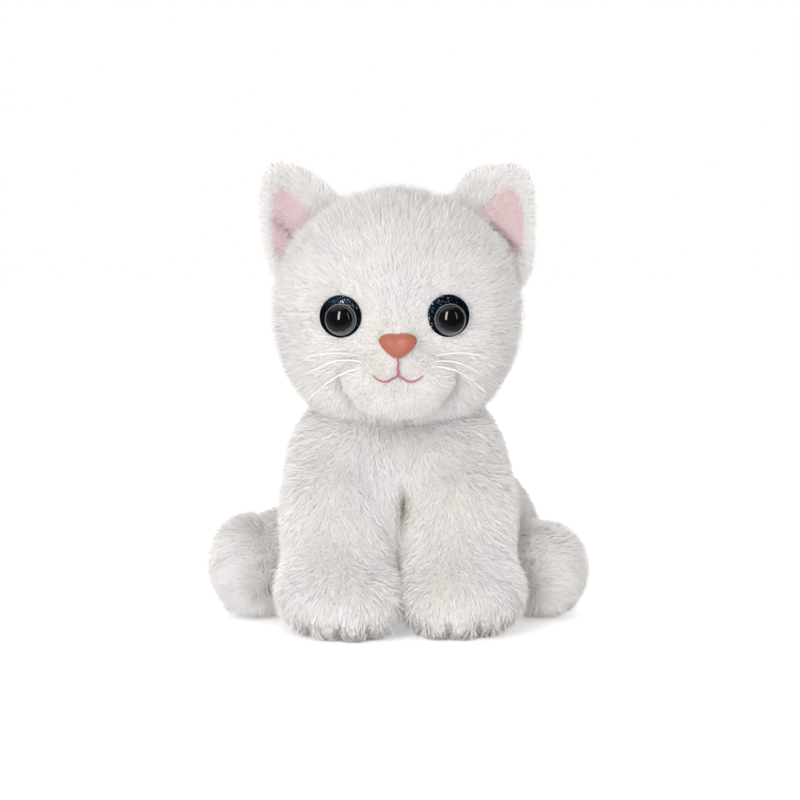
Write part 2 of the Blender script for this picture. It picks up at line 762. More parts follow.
def fibre_form():
    """One fibre of unit length and unit width: three triangles, bent over towards +Y."""
    rows = ((0.0, 0.0, 0.5), (0.55, 0.07, 0.42))
    points = [(s * half, bend, high) for high, bend, half in rows for s in (-1, 1)]
    points.append((0.0, 0.30, 0.97))
    mesh = bpy.data.meshes.new("fibre")
    mesh.from_pydata(points, [], [(0, 1, 3, 2), (2, 3, 4)])
    share = mesh.attributes.new("tip_share", "FLOAT", "POINT")
    share.data.foreach_set("value", [0, 0, 0.55, 0.55, 1])
    fibre = finished("fibre_form", mesh)
    fibre.hide_render = True
    return fibre


fibre = fibre_form()


def pile_tree():
    """Sows fibres over a skin; each leans with the skin's lay and with its neighbours' tuft."""
    tree = bpy.data.node_groups.new("pile", "GeometryNodeTree")
    face = tree.interface
    face.new_socket("Skin", in_out="INPUT", socket_type="NodeSocketGeometry")
    for label, value in (("Fibres", 5e6), ("Width", 0.0003), ("Lean", 0.8), ("Scatter", 0.3),
                         ("Tufting", 1.2), ("Floor", 0.0002)):
        face.new_socket(label, in_out="INPUT", socket_type="NodeSocketFloat").default_value = value
    face.new_socket("Seed", in_out="INPUT", socket_type="NodeSocketInt").default_value = 1
    face.new_socket("Material", in_out="INPUT", socket_type="NodeSocketMaterial")
    face.new_socket("Pile", in_out="OUTPUT", socket_type="NodeSocketGeometry")
    given, out = tree.nodes.new("NodeGroupInput"), tree.nodes.new("NodeGroupOutput")
    link = tree.links.new

    def attribute(name, kind):
        return node(tree, "GeometryNodeInputNamedAttribute", data_type=kind, Name=name)

    def vector(operation, first, second):
        made = node(tree, "ShaderNodeVectorMath", operation=operation)
        link(first, made.inputs[0])
        link(second, made.inputs["Scale" if operation == "SCALE" else 1])
        return made.outputs[0]

    thick = attribute("thick", "FLOAT")
    count = node(tree, "ShaderNodeMath", operation="MULTIPLY")
    sow = node(tree, "GeometryNodeDistributePointsOnFaces", distribute_method="RANDOM")
    join(tree, (given, "Fibres", count, 0), (thick, "Attribute", count, 1),
         (given, "Skin", sow, "Mesh"), (count, 0, sow, "Density"), (given, "Seed", sow, "Seed"))

    lay = attribute("lay", "FLOAT_VECTOR")
    scatter = node(tree, "FunctionNodeRandomValue", data_type="FLOAT_VECTOR")
    scatter.inputs[0].default_value = (-1, -1, -1)
    scatter.inputs[1].default_value = (1, 1, 1)
    join(tree, (given, "Seed", scatter, "Seed"))
    place = node(tree, "GeometryNodeInputPosition")
    tufts = []
    for scale, strength in ((60.0, 0.85), (190.0, 0.42)):
        cloud = node(tree, "ShaderNodeTexNoise", Scale=scale, Detail=1.0)
        centred = node(tree, "ShaderNodeVectorMath", operation="SUBTRACT")
        centred.inputs[1].default_value = (0.5, 0.5, 0.5)
        grown = node(tree, "ShaderNodeVectorMath", operation="SCALE", Scale=strength)
        join(tree, (place, 0, cloud, "Vector"), (cloud, "Color", centred, 0),
             (centred, 0, grown, 0))
        tufts.append(grown.outputs[0])
    tuft = vector("SCALE", vector("ADD", *tufts), given.outputs["Tufting"])
    leaning = vector("SCALE", lay.outputs["Attribute"], given.outputs["Lean"])
    strewn = vector("SCALE", scatter.outputs[0], given.outputs["Scatter"])
    way = vector("ADD", vector("ADD", sow.outputs["Normal"], leaning), vector("ADD", strewn, tuft))
    stand = node(tree, "FunctionNodeAlignRotationToVector", axis="Z")
    face_way = node(tree, "FunctionNodeAlignRotationToVector", axis="Y", pivot_axis="Z")
    link(way, stand.inputs["Vector"])
    join(tree, (stand, 0, face_way, "Rotation"))
    link(vector("ADD", leaning, scatter.outputs[0]), face_way.inputs["Vector"])

    clip = attribute("clip", "FLOAT")
    uneven = node(tree, "FunctionNodeRandomValue", data_type="FLOAT")
    uneven.inputs[2].default_value = 0.7
    uneven.inputs[3].default_value = 1.12
    join(tree, (given, "Seed", uneven, "Seed"))
    length = node(tree, "ShaderNodeMath", operation="MULTIPLY")
    join(tree, (clip, "Attribute", length, 0), (uneven, 1, length, 1))
    shape = node(tree, "ShaderNodeCombineXYZ")
    join(tree, (given, "Width", shape, "X"), (length, 0, shape, "Y"), (length, 0, shape, "Z"))

    form = node(tree, "GeometryNodeObjectInfo", Object=fibre)
    plant = node(tree, "GeometryNodeInstanceOnPoints")
    join(tree, (sow, "Points", plant, "Points"), (form, "Geometry", plant, "Instance"),
         (face_way, 0, plant, "Rotation"), (shape, 0, plant, "Scale"))
    real = node(tree, "GeometryNodeRealizeInstances")
    join(tree, (plant, 0, real, 0))

    where = node(tree, "GeometryNodeInputPosition")
    apart = node(tree, "ShaderNodeSeparateXYZ")
    above = node(tree, "ShaderNodeMath", operation="MAXIMUM")
    joined = node(tree, "ShaderNodeCombineXYZ")
    pressed = node(tree, "GeometryNodeSetPosition")
    join(tree, (where, 0, apart, 0), (apart, "Z", above, 0), (given, "Floor", above, 1),
         (apart, "X", joined, "X"), (apart, "Y", joined, "Y"), (above, 0, joined, "Z"),
         (real, 0, pressed, "Geometry"), (joined, 0, pressed, "Position"))
    coloured = node(tree, "GeometryNodeSetMaterial")
    join(tree, (pressed, 0, coloured, "Geometry"), (given, "Material", coloured, "Material"),
         (coloured, 0, out, "Pile"))
    return tree


sowing = pile_tree()


def set_modifier(modifier, values):
    """Sets a node modifier's inputs by their socket identifiers."""
    sockets = {item.name: item.identifier for item in modifier.node_group.interface.items_tree
               if item.in_out == "INPUT"}
    for label, value in values.items():
        modifier[sockets[label]] = value


def along_skin(way, normals):
    """Takes out of a direction what points into or out of the skin."""
    flat = way - normals * np.sum(way * normals, axis=1)[:, None]
    return flat / np.maximum(np.linalg.norm(flat, axis=1)[:, None], 0.15)


def store(piece, name, kind, values):
    layer = piece.data.attributes.new(name, kind, "POINT")
    key = "vector" if kind == "FLOAT_VECTOR" else "value"
    layer.data.foreach_set(key, np.asarray(values, float).ravel())


def clean(points):
    return np.zeros(len(points))


def grow_pile(name, skin, lay, clip, thick, material, seed, keep=None, fibres=5.6e6,
              lean=0.85, scatter=0.2, tufting=0.9, width=fibre_width, matted=clean):
    """Grows a pile piece on a skin, from what lay, clip, thick and matted give for its points."""
    points, normals = skin_points(skin)
    work = bpy.data.objects.new(name, skin.data.copy())
    bpy.context.collection.objects.link(work)
    store(work, "lay", "FLOAT_VECTOR", along_skin(lay(points), normals))
    store(work, "clip", "FLOAT", clip(points) * MM)
    store(work, "matted", "FLOAT", np.clip(matted(points), 0, 1))
    cover = thick(points, normals)
    if keep is not None:
        cover = cover * keep(points)
    store(work, "thick", "FLOAT", cover)
    grower = work.modifiers.new("pile", "NODES")
    grower.node_group = sowing
    set_modifier(grower, {"Fibres": fibres, "Width": width * MM, "Lean": lean, "Scatter": scatter,
                          "Tufting": tufting, "Floor": clip_floor * MM, "Seed": seed,
                          "Material": material})
    graph = bpy.context.evaluated_depsgraph_get()
    mesh = bpy.data.meshes.new_from_object(work.evaluated_get(graph))
    for label in ("lay", "clip", "thick"):
        if label in mesh.attributes:
            mesh.attributes.remove(mesh.attributes[label])
    bpy.data.objects.remove(work)
    return finished(name, mesh)


nose_tip = np.array([0.0, muzzle_front + 2, muzzle_z + 9])


def open_to_air(forms):
    """Full cover where the skin can be seen, none where another form hides it."""
    def cover(points, normals):
        depth = np.min([form(points + normals * 1.5) for form in forms], axis=0)
        return np.clip(depth / 1.5 + 1.3, 0, 1)
    return cover


def head_lay(points):
    away = points - nose_tip
    away /= np.linalg.norm(away, axis=1)[:, None]
    back = np.clip((points[:, 1] - head_y + 22) / 62, 0, 1)[:, None]
    back = back * back * (3 - 2 * back)
    return away * (1 - back) + np.array([0, 0.15, -1.0]) * back


def eye_space(points, size):
    return sum(hump(points, eye, (size, size * 1.5, size)) for eye in eyes.values())


def head_clip(points):
    from_nose = np.linalg.norm(points - nose_tip, axis=1)
    length = 3.6 + 3.6 * np.clip((from_nose - 18) / 38, 0, 1)
    length = length * (1 - 0.55 * np.clip(eye_space(points, 12), 0, 1))
    return length * (1 - 0.65 * on_join(muzzle_form, 4.2, smile_height)(points))


eye_clear = 7.4
bare_head = open_to_air([muzzle_form])


def head_cover(points, normals):
    cover = bare_head(points, normals)
    for eye in eyes.values():
        gap = np.linalg.norm(points - eye, axis=1)
        cover = cover * np.clip((gap - eye_clear) / 1.0, 0, 1)
    front = np.clip((head_y + 10 - points[:, 1]) / 20, 0, 1)
    crease = on_join(muzzle_form, 2.0, smile_height)(points)
    return cover * (0.85 + 0.35 * front) * (1 - 0.8 * crease)


def share_of(low, high, axis=0):
    """The points between two levels of one axis."""
    return lambda points: ((points[:, axis] >= low) & (points[:, axis] < high)).astype(float)


def creased(points):
    """A trace of glue and shade in the fold under the muzzle and in the seam under the chin."""
    under_chin = hump(points, chin_seam, (1.5, 20, 5))
    return 0.46 * on_join(muzzle_form, 2.4, smile_height)(points) + 0.2 * under_chin


face_pile = pile_material("white_face_pile", (0.895, 0.875, 0.845), (0.92, 0.905, 0.885))
panels = {"left": (gusset_half_width, 99), "gusset": (-gusset_half_width, gusset_half_width),
          "right": (-99, -gusset_half_width)}
for number, (panel, (low, high)) in enumerate(panels.items()):
    pile = grow_pile(f"head_pile_{panel}", head_skin, head_lay, head_clip, head_cover, face_pile,
                     seed=11 + number, keep=share_of(low, high), matted=creased)
    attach(pile, "head")


def muzzle_lay(points):
    away = points - nose_tip
    return away / np.linalg.norm(away, axis=1)[:, None] + np.array([0, 0, -0.2])


def muzzle_clip(points):
    from_nose = np.linalg.norm(points - nose_tip, axis=1)
    length = 1.5 + 1.9 * np.clip((from_nose - 9) / 16, 0, 1)
    return length * (1 - 0.7 * on_join(head_form, 3.2, smile_height)(points))


bare_muzzle = open_to_air([head_form])


def muzzle_cover(points, normals):
    return bare_muzzle(points, normals) * (1 - 0.5 * on_join(head_form, 1.8, smile_height)(points))


short_pile = pile_material("white_short_pile", (0.82, 0.79, 0.76), (0.90, 0.88, 0.86), 0.6)
muzzle_pile = grow_pile("muzzle_pile", muzzle_skin, muzzle_lay, muzzle_clip,
                        muzzle_cover, short_pile, seed=21, fibres=9.5e6,
                        lean=0.8, scatter=0.4, tufting=0.7, width=0.24,
                        matted=lambda p: 0.42 * on_join(head_form, 1.8, smile_height)(p))
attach(muzzle_pile, "head")


def body_lay(points):
    out = (points - np.array([0, -20, 60])) * (0.012, 0.012, 0)
    return out + np.array([0, 0, -1.0])


def even_clip(length):
    return lambda points: np.full(len(points), length)


whole_body = open_to_air([foreleg_form("left"), foreleg_form("right"), hindleg_form("left"),
                          hindleg_form("right"), head_form])
back_seam = middle("back_closing_stitches")


def parting(points):
    """One where the pile is kept short round the gap, so that no fibres lie over it."""
    return in_chest_gap(points, spread=2.4, above=4.0)


def in_gap(points):
    return in_chest_gap(points, spread=1.5)


def parted(points, normals):
    """Full cover, but thin along the closing seam and at the gap where the legs meet the chest."""
    on_seam = hump(points, back_seam, (1.7, 20, 9)) + in_gap(points)
    return whole_body(points, normals) * (1 - 0.9 * np.clip(on_seam, 0, 1))


def body_clip(points):
    return 6.6 * (1 - 0.65 * parting(points))


for number, (panel, (low, high)) in enumerate({"left": (1, 99), "right": (-99, 1)}.items()):
    pile = grow_pile(f"body_pile_{panel}", body_skin, body_lay, body_clip, parted,
                     long_pile, seed=31 + number, keep=share_of(low, high), fibres=5.15e6,
                     lean=0.95, scatter=0.15, tufting=0.62, matted=in_gap)
    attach(pile, "torso")


def leg_clip(points):
    length = 5.2 + 1.8 * np.clip((points[:, 2] - 15) / 30, 0, 1)
    grooves = sum(hump(points, spot, (2.6, 12, 8)) for side in toe_gaps
                  for spot in toe_lines(side))
    return length * (1 - 0.35 * np.clip(grooves, 0, 1)) * (1 - 0.65 * parting(points))


def foreleg_lay(points):
    toes = np.clip((22 - points[:, 2]) / 16, 0, 1)[:, None]
    return np.array([0, -0.15, -1.0]) * (1 - toes) + np.array([0, -1.0, -0.45]) * toes


bare_leg = open_to_air([trunk_form, head_form])


def foreleg_cover(points, normals):
    return bare_leg(points, normals) * (1 - 0.9 * in_gap(points))


for number, side in enumerate(("left", "right")):
    pile = grow_pile(f"front_leg_pile_{side}", foreleg_skins[side], foreleg_lay, leg_clip,
                     foreleg_cover, long_pile, seed=41 + number, lean=0.95, scatter=0.15,
                     tufting=0.62, matted=in_gap)
    bend_with_front_leg(pile)


for number, side in enumerate(("left", "right")):
    outward = np.array([leg_side[side] * 0.45, -0.35, -0.8])

    def hindleg_lay(points, way=outward, heart=sole_pucker(side)):
        whorl = points - heart
        near = hump(points, heart, (17, 30, 17))[:, None]
        return way * (1 - near) + near * whorl / np.linalg.norm(whorl, axis=1)[:, None] * 1.2

    def hindleg_clip(points, heart=sole_pucker(side)):
        return 6.4 * (1 - 0.5 * hump(points, heart, (4, 12, 3.5)))

    def puckered(points, heart=sole_pucker(side)):
        return 0.22 * hump(points, heart, (3.2, 12, 2.6))

    pile = grow_pile(f"hind_leg_pile_{side}", hindleg_skins[side], hindleg_lay, hindleg_clip,
                     bare_leg, long_pile, seed=51 + number, tufting=1.2, matted=puckered)
    bend_with_hind_leg(pile)


def tail_lay(points):
    arm = points - (tail_root + np.array([-tail_curl_radius, 0, 0]))
    return np.column_stack([-arm[:, 1], arm[:, 0], np.zeros(len(arm))]) / tail_curl_radius


tail_pile = grow_pile("tail_pile", tail_skin, tail_lay, even_clip(6.0), bare_leg, long_pile,
                      seed=61)
bend_with_tail(tail_pile)


# Ear linings. A triangle of pink short-pile let into the front of each ear and folded over at the
# base, where one stitch pinches it.

def in_outline(points, outline, margin=0.0):
    """Whether points lie inside an outline in the XZ plane, drawn in by a margin."""
    rim = smooth_loop(outline, 120)
    rim = rim + (rim.mean(axis=0) - rim) * margin
    after = np.roll(rim, -1, axis=0)
    x, z = points[:, 0][:, None], points[:, 2][:, None]
    crosses = (rim[:, 1] > z) != (after[:, 1] > z)
    slope = (after[:, 0] - rim[:, 0]) / (after[:, 1] - rim[:, 1] + 1e-9)
    return (np.sum(crosses & (x < rim[:, 0] + slope * (z - rim[:, 1])), axis=1) % 2) == 1


pink_pile = pile_material("pink_short_pile", (0.86, 0.62, 0.64), (0.92, 0.79, 0.805), 1.0)
outside_head = open_to_air([head_form])
for number, side in enumerate(("left", "right")):
    front, _ = ear_faces(side)
    rim_line = smooth_loop(ear_rim[side])
    rim_heart = rim_line.mean(axis=0)

    def ear_share(x, z, heart=rim_heart, line=rim_line):
        """How far out towards the ear's rim a place lies, from nothing to one."""
        way = np.array((x, z)) - heart
        angles = np.arctan2(line[:, 1] - heart[1], line[:, 0] - heart[0])
        turn = math.atan2(way[1], way[0])
        nearest = np.argmin(np.abs(np.angle(np.exp(1j * (angles - turn)))))
        return min(np.linalg.norm(way) / np.linalg.norm(line[nearest] - heart), 1)

    lining = faced_form(f"ear_lining_piece_{side}", pink_edge[side],
                        lambda x, z, s, f=front, e=ear_share: f(x, z, e(x, z)) - 0.7,
                        lambda x, z, s, f=front, e=ear_share: f(x, z, e(x, z)) + 0.5)
    lining.data.materials.append(cloth_material(f"pink_ground_{side}", (0.84, 0.60, 0.62)))
    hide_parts(f"ear_lining_{side}")
    bend_with_ear(lining)
    rise = ear_up(side)
    pink = grow_pile(f"ear_lining_pile_{side}", lining,
                     lambda p, up=rise: np.tile(up, (len(p), 1)), even_clip(1.9),
                     lambda p, n: (n[:, 1] < 0.2) * outside_head(p, n), pink_pile,
                     seed=71 + number, fibres=11e6, lean=0.7, scatter=0.45, tufting=0.5, width=0.2)
    bend_with_ear(pink)

    def rim_lay(points, up=rise, heart=rim_heart):
        out = points - np.array((heart[0], points[:, 1].mean(), heart[1]))
        out[:, 1] = 0
        return out / np.linalg.norm(out, axis=1)[:, None] + 0.9 * up

    def rim_cover(points, normals, edge=pink_edge[side]):
        hidden = in_outline(points, edge, 0.13) & (normals[:, 1] < 0.3)
        return outside_head(points, normals) * ~hidden

    pile = grow_pile(f"ear_pile_{side}", ear_skins[side], rim_lay, even_clip(5.0), rim_cover,
                     long_pile, seed=73 + number, fibres=7.4e6, lean=0.9, tufting=0.7)
    bend_with_ear(pile)


# Eyes. A domed black safety eye on its stem, over a disc of clear plastic backed with navy and
# silver glitter film. Stem and lock washer hold both through the face.

eye_turn = math.radians(8)
dome_radius = 6.0
dome_height = 4.4
disc_radius = 8.5
disc_shift = {"left": (-0.6, 1.5), "right": (-0.2, 1.2)}


def turned_form(name, profile, around=64):
    """Turns a profile of (radius, height) pairs about the Z axis into a closed form."""
    shell = bmesh.new()
    rows = []
    for radius, height in profile:
        if radius == 0:
            rows.append([shell.verts.new((0, 0, height))])
            continue
        rows.append([shell.verts.new((radius * math.cos(2 * math.pi * s / around),
                                      radius * math.sin(2 * math.pi * s / around), height))
                     for s in range(around)])
    for inner, outer in zip(rows, rows[1:]):
        for step in range(around):
            after = (step + 1) % around
            loop = [inner[step % len(inner)], outer[step % len(outer)],
                    outer[after % len(outer)], inner[after % len(inner)]]
            shell.faces.new(list(dict.fromkeys(loop)))
    bmesh.ops.recalc_face_normals(shell, faces=shell.faces)
    return finished(name, as_mesh(name, shell))


def set_in_face(piece, side, shift=(0, 0), out=0.0):
    """Moves a form made along Z, in millimetres, onto the eye's outward axis."""
    outward = Vector((leg_side[side] * math.sin(eye_turn), -math.cos(eye_turn), 0))
    turn = outward.to_track_quat("Z", "Y").to_matrix().to_4x4()
    place = Vector(eyes[side]) + outward * out + Vector((shift[0], 0, shift[1]))
    piece.data.transform(Matrix.Scale(MM, 4) @ Matrix.Translation(place) @ turn)


def dome_material():
    """Black moulded plastic with a faintly paler iris low on the dome, under a clear gloss."""
    material, tree, surface = new_material("eye_plastic")
    form = node(tree, "ShaderNodeAttribute", attribute_name="dome_share")
    iris = tone_ramp(tree, (0.30, (0.0008, 0.0008, 0.001)), (0.85, (0.030, 0.025, 0.030)))
    dust = node(tree, "ShaderNodeTexNoise", Scale=2500.0, Detail=3.0)
    rough = node(tree, "ShaderNodeMapRange", To_Min=0.03, To_Max=0.09)
    join(tree, (form, "Fac", iris, "Fac"), (iris, "Color", surface, "Base Color"),
         (dust, "Fac", rough, "Value"), (rough, "Result", surface, "Roughness"))
    surface.inputs["Coat Weight"].default_value = 1.0
    surface.inputs["Coat IOR"].default_value = 1.55
    surface.inputs["Coat Roughness"].default_value = 0.02
    return material


def glitter_material():
    """Loose flakes of silver and blue film on navy, each at its own angle."""
    material, tree, surface = new_material("glitter_film")
    place = node(tree, "ShaderNodeTexCoord")
    inner = node(tree, "ShaderNodeAttribute", attribute_name="inner_side")
    lit = node(tree, "ShaderNodeMath", operation="MULTIPLY")
    flakes = node(tree, "ShaderNodeTexVoronoi", Scale=3000.0)
    apart = node(tree, "ShaderNodeSeparateColor")
    tone = tone_ramp(tree, (0.0, (0.002, 0.002, 0.004)), (0.58, (0.003, 0.008, 0.022)),
                     (0.80, (0.008, 0.04, 0.09)), (0.90, (0.06, 0.20, 0.30)),
                     (0.96, (0.70, 0.82, 0.88)))
    tone.color_ramp.interpolation = "CONSTANT"
    tilt = node(tree, "ShaderNodeBump", Strength=0.9, Distance=0.0004)
    join(tree, (place, "Object", flakes, "Vector"), (flakes, "Color", apart, "Color"),
         (apart, "Red", lit, 0), (inner, "Fac", lit, 1), (lit, 0, tone, "Fac"),
         (tone, "Color", surface, "Base Color"), (apart, "Green", tilt, "Height"),
         (tilt, "Normal", surface, "Normal"))
    shine = node(tree, "ShaderNodeMapRange", To_Min=0.12, To_Max=0.5)
    join(tree, (apart, "Blue", shine, "Value"), (shine, "Result", surface, "Roughness"))
    surface.inputs["Metallic"].default_value = 0.75
    return material


def dome_profile():
    """Tip to edge, then under the flange and down the ribbed stem."""
    steps = [math.pi / 2 * n / 18 for n in range(19)]
    dome = [(dome_radius * math.sin(a), 0.9 + dome_height * math.cos(a)) for a in steps]
    stem = [(6.25, 0.45), (6.1, 0.0), (1.9, -0.4)]
    for rib in range(5):
        stem += [(1.9, -3.0 - rib * 1.6), (1.55, -3.6 - rib * 1.6)]
    return [(0 if r < 1e-6 else r, h) for r, h in dome + stem] + [(0, -11.8)]


eye_plastic = dome_material()
glitter = glitter_material()
edge_plastic, edge_tree, edge_surface = new_material("eye_clear_edge")
edge_haze = node(edge_tree, "ShaderNodeTexNoise", Scale=2200.0, Detail=3.0)
edge_tone = tone_ramp(edge_tree, (0.42, (0.006, 0.012, 0.020)), (0.68, (0.42, 0.50, 0.54)))
join(edge_tree, (edge_haze, "Fac", edge_tone, "Fac"),
     (edge_tone, "Color", edge_surface, "Base Color"))
edge_surface.inputs["Roughness"].default_value = 0.2
for side in ("left", "right"):
    dome = turned_form(f"eye_dome_{side}", dome_profile())
    share = dome.data.attributes.new("dome_share", "FLOAT", "POINT")
    share.data.foreach_set("value", [
        math.hypot(v.co.x, v.co.y) / dome_radius * min(max(0.5 - v.co.y / dome_radius, 0), 1)
        for v in dome.data.vertices])
    dome.data.materials.append(eye_plastic)
    set_in_face(dome, side, out=0.6)
    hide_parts(f"eye_lens_{side}")
    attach(dome, "head")
    rim = turned_form(f"eye_edge_{side}", [(dome_radius - 0.1, 0.9), (dome_radius + 0.05, 1.15),
                                           (dome_radius + 0.32, 0.95), (dome_radius + 0.42, 0.6),
                                           (dome_radius + 0.3, 0.2), (dome_radius - 0.1, 0.2),
                                           (dome_radius - 0.1, 0.9)])
    rim.data.materials.append(edge_plastic)
    set_in_face(rim, side, out=0.6)
    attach(rim, "head")
    disc = turned_form(f"eye_glitter_{side}", [
        (2.0, 0.0), (disc_radius - 0.8, 0.0), (disc_radius - 0.15, -0.2), (disc_radius, -0.6),
        (disc_radius - 0.3, -0.9), (2.0, -0.9), (2.0, 0.0)])
    inner = disc.data.attributes.new("inner_side", "FLOAT", "POINT")
    inner.data.foreach_set("value", [
        min(max(0.93 - 0.13 * leg_side[side] * v.co.x / disc_radius
                + 0.07 * v.co.y / disc_radius, 0), 1)
        for v in disc.data.vertices])
    disc.data.materials.append(glitter)
    set_in_face(disc, side, shift=disc_shift[side], out=0.8)
    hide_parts(f"eye_glitter_disc_{side}")
    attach(disc, "head")


# Lock washers. Toothed discs of white nylon, pushed up the stems from inside the head; they grip
# the cloth against the back of each eye and of the nose.

washer_nylon = speckled_material("washer_nylon", (0.72, 0.71, 0.68), (0.84, 0.83, 0.80), 900.0,
                                 0.35, 0.5)
refinish(["eye_lock_washer_left", "eye_lock_washer_right", "nose_lock_washer"], washer_nylon)


# Nose. One moulding of soft coral plastic on a stem: a wide rounded top, sides that draw in to a
# small round point, and a satin finish.

nose_low, nose_high = span("nose")
nose_front = nose_low[1]
nose_z = (nose_low[2] + nose_high[2]) / 2
nose_outline = ((-7.6, 2.2), (-6.2, 4.2), (-3.0, 4.9), (0, 4.7), (3.0, 4.9), (6.2, 4.2),
                (7.6, 2.2), (6.4, -0.6), (3.6, -3.4), (0.9, -4.9), (-0.9, -4.9), (-3.6, -3.4),
                (-6.4, -0.6))


def nose_face(x, z, share):
    """A full front with two soft lobes and a faint dip between them."""
    lobes = 0.7 * (math.exp(-((x - 3.8) / 2.4) ** 2) + math.exp(-((x + 3.8) / 2.4) ** 2))
    swell_out = 3.3 * math.sqrt(max(1 - share ** 2.3, 0))
    return nose_front + 3.8 - swell_out - lobes * (1 - share ** 2) + 0.5 * (z - nose_z) / 4.5


nose_piece = faced_form("nose_moulding", [(x, z + nose_z) for x, z in nose_outline],
                        nose_face, lambda x, z, share: nose_front + 4.6, rings=14, around=96)
nose_plastic, nose_tree, nose_surface = new_material("coral_soft_plastic")
nose_grain = node(nose_tree, "ShaderNodeTexNoise", Scale=900.0, Detail=5.0)
nose_tone = tone_ramp(nose_tree, (0.3, (0.40, 0.120, 0.074)), (0.7, (0.46, 0.152, 0.094)))
nose_rough = node(nose_tree, "ShaderNodeMapRange", To_Min=0.26, To_Max=0.38)
nose_bump = node(nose_tree, "ShaderNodeBump", Strength=0.25, Distance=0.0001)
join(nose_tree, (nose_grain, "Fac", nose_tone, "Fac"),
     (nose_tone, "Color", nose_surface, "Base Color"), (nose_grain, "Fac", nose_rough, "Value"),
     (nose_rough, "Result", nose_surface, "Roughness"), (nose_grain, "Fac", nose_bump, "Height"),
     (nose_bump, "Normal", nose_surface, "Normal"))
nose_surface.inputs["Specular IOR Level"].default_value = 0.6
nose_surface.inputs["Subsurface Weight"].default_value = 0.1
nose_surface.inputs["Subsurface Radius"].default_value = (0.002, 0.001, 0.0006)
nose_piece.data.materials.append(nose_plastic)
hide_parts("nose")
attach(nose_piece, "head")


# Mouth. Pink embroidery on the muzzle: a row of short slanting stitches down from the nose, and a
# shallow curve to each side of it that thins towards its end.

thread_pink = (0.57, 0.17, 0.27)
mouth_width = 9.4
mouth_drop = 2.9


def stitch_form():
    """One laid stitch of unit length and girth: a round thread that dips in at both ends."""
    mesh = bpy.data.meshes.new("stitch")
    sides, rows = 6, ((-0.5, 0.25, -0.28), (-0.3, 0.45, 0.02), (0.0, 0.5, 0.12),
                      (0.3, 0.45, 0.02), (0.5, 0.25, -0.28))
    points = [(girth * math.cos(2 * math.pi * s / sides) + lift,
               girth * math.sin(2 * math.pi * s / sides), along)
              for along, girth, lift in rows for s in range(sides)]
    faces = [(r * sides + s, r * sides + (s + 1) % sides, (r + 1) * sides + (s + 1) % sides,
              (r + 1) * sides + s) for r in range(len(rows) - 1) for s in range(sides)]
    faces += [tuple(reversed(range(sides))), tuple(range((len(rows) - 1) * sides, len(points)))]
    mesh.from_pydata(points, [], faces)
    form = finished("stitch_form", mesh)
    form.hide_render = True
    return form


stitch = stitch_form()


def stitch_tree():
    """Lays stitches end to end along a path, each as thick as the path's girth there."""
    tree = bpy.data.node_groups.new("stitch_row", "GeometryNodeTree")
    face = tree.interface
    face.new_socket("Path", in_out="INPUT", socket_type="NodeSocketGeometry")
    for label, value in (("Step", 0.001), ("Length", 0.0016), ("Slant", 0.0)):
        face.new_socket(label, in_out="INPUT", socket_type="NodeSocketFloat").default_value = value
    face.new_socket("Material", in_out="INPUT", socket_type="NodeSocketMaterial")
    face.new_socket("Row", in_out="OUTPUT", socket_type="NodeSocketGeometry")
    given, out = tree.nodes.new("NodeGroupInput"), tree.nodes.new("NodeGroupOutput")
    line = node(tree, "GeometryNodeMeshToCurve")
    spots = node(tree, "GeometryNodeCurveToPoints", mode="LENGTH")
    girth = node(tree, "GeometryNodeInputNamedAttribute", data_type="FLOAT", Name="girth")
    shape = node(tree, "ShaderNodeCombineXYZ")
    form = node(tree, "GeometryNodeObjectInfo", Object=stitch)
    lay = node(tree, "GeometryNodeInstanceOnPoints")
    slant = node(tree, "ShaderNodeCombineXYZ")
    lean = node(tree, "GeometryNodeRotateInstances")
    real = node(tree, "GeometryNodeRealizeInstances")
    smooth = node(tree, "GeometryNodeSetShadeSmooth")
    coloured = node(tree, "GeometryNodeSetMaterial")
    join(tree, (given, "Path", line, "Mesh"), (line, "Curve", spots, "Curve"),
         (given, "Step", spots, "Length"), (girth, "Attribute", shape, "X"),
         (girth, "Attribute", shape, "Y"), (given, "Length", shape, "Z"),
         (spots, "Points", lay, "Points"), (spots, "Rotation", lay, "Rotation"),
         (form, "Geometry", lay, "Instance"), (shape, 0, lay, "Scale"),
         (given, "Slant", slant, "X"), (lay, 0, lean, "Instances"), (slant, 0, lean, "Rotation"),
         (lean, 0, real, 0), (real, 0, smooth, 0), (smooth, 0, coloured, "Geometry"),
         (given, "Material", coloured, "Material"), (coloured, 0, out, "Row"))
    return tree


sewing = stitch_tree()


def thread_material(name, colour):
    """Spun thread: fine twisted plies and a soft sheen."""
    material, tree, surface = new_material(name)
    place = node(tree, "ShaderNodeTexCoord")
    plies = node(tree, "ShaderNodeTexWave", Scale=1400.0, Distortion=2.0, bands_direction="DIAGONAL")
    tone = node(tree, "ShaderNodeMix", data_type="RGBA")
    tone.inputs["A"].default_value = (*[c * 0.72 for c in colour], 1)
    tone.inputs["B"].default_value = (*colour, 1)
    rough = node(tree, "ShaderNodeMapRange", To_Min=0.4, To_Max=0.6)
    bump = node(tree, "ShaderNodeBump", Strength=0.5, Distance=0.0001)
    join(tree, (place, "Object", plies, "Vector"), (plies, "Fac", tone, "Factor"),
         (tone, "Result", surface, "Base Color"), (plies, "Fac", rough, "Value"),
         (rough, "Result", surface, "Roughness"), (plies, "Fac", bump, "Height"),
         (bump, "Normal", surface, "Normal"))
    surface.inputs["Sheen Weight"].default_value = 0.3
    return material


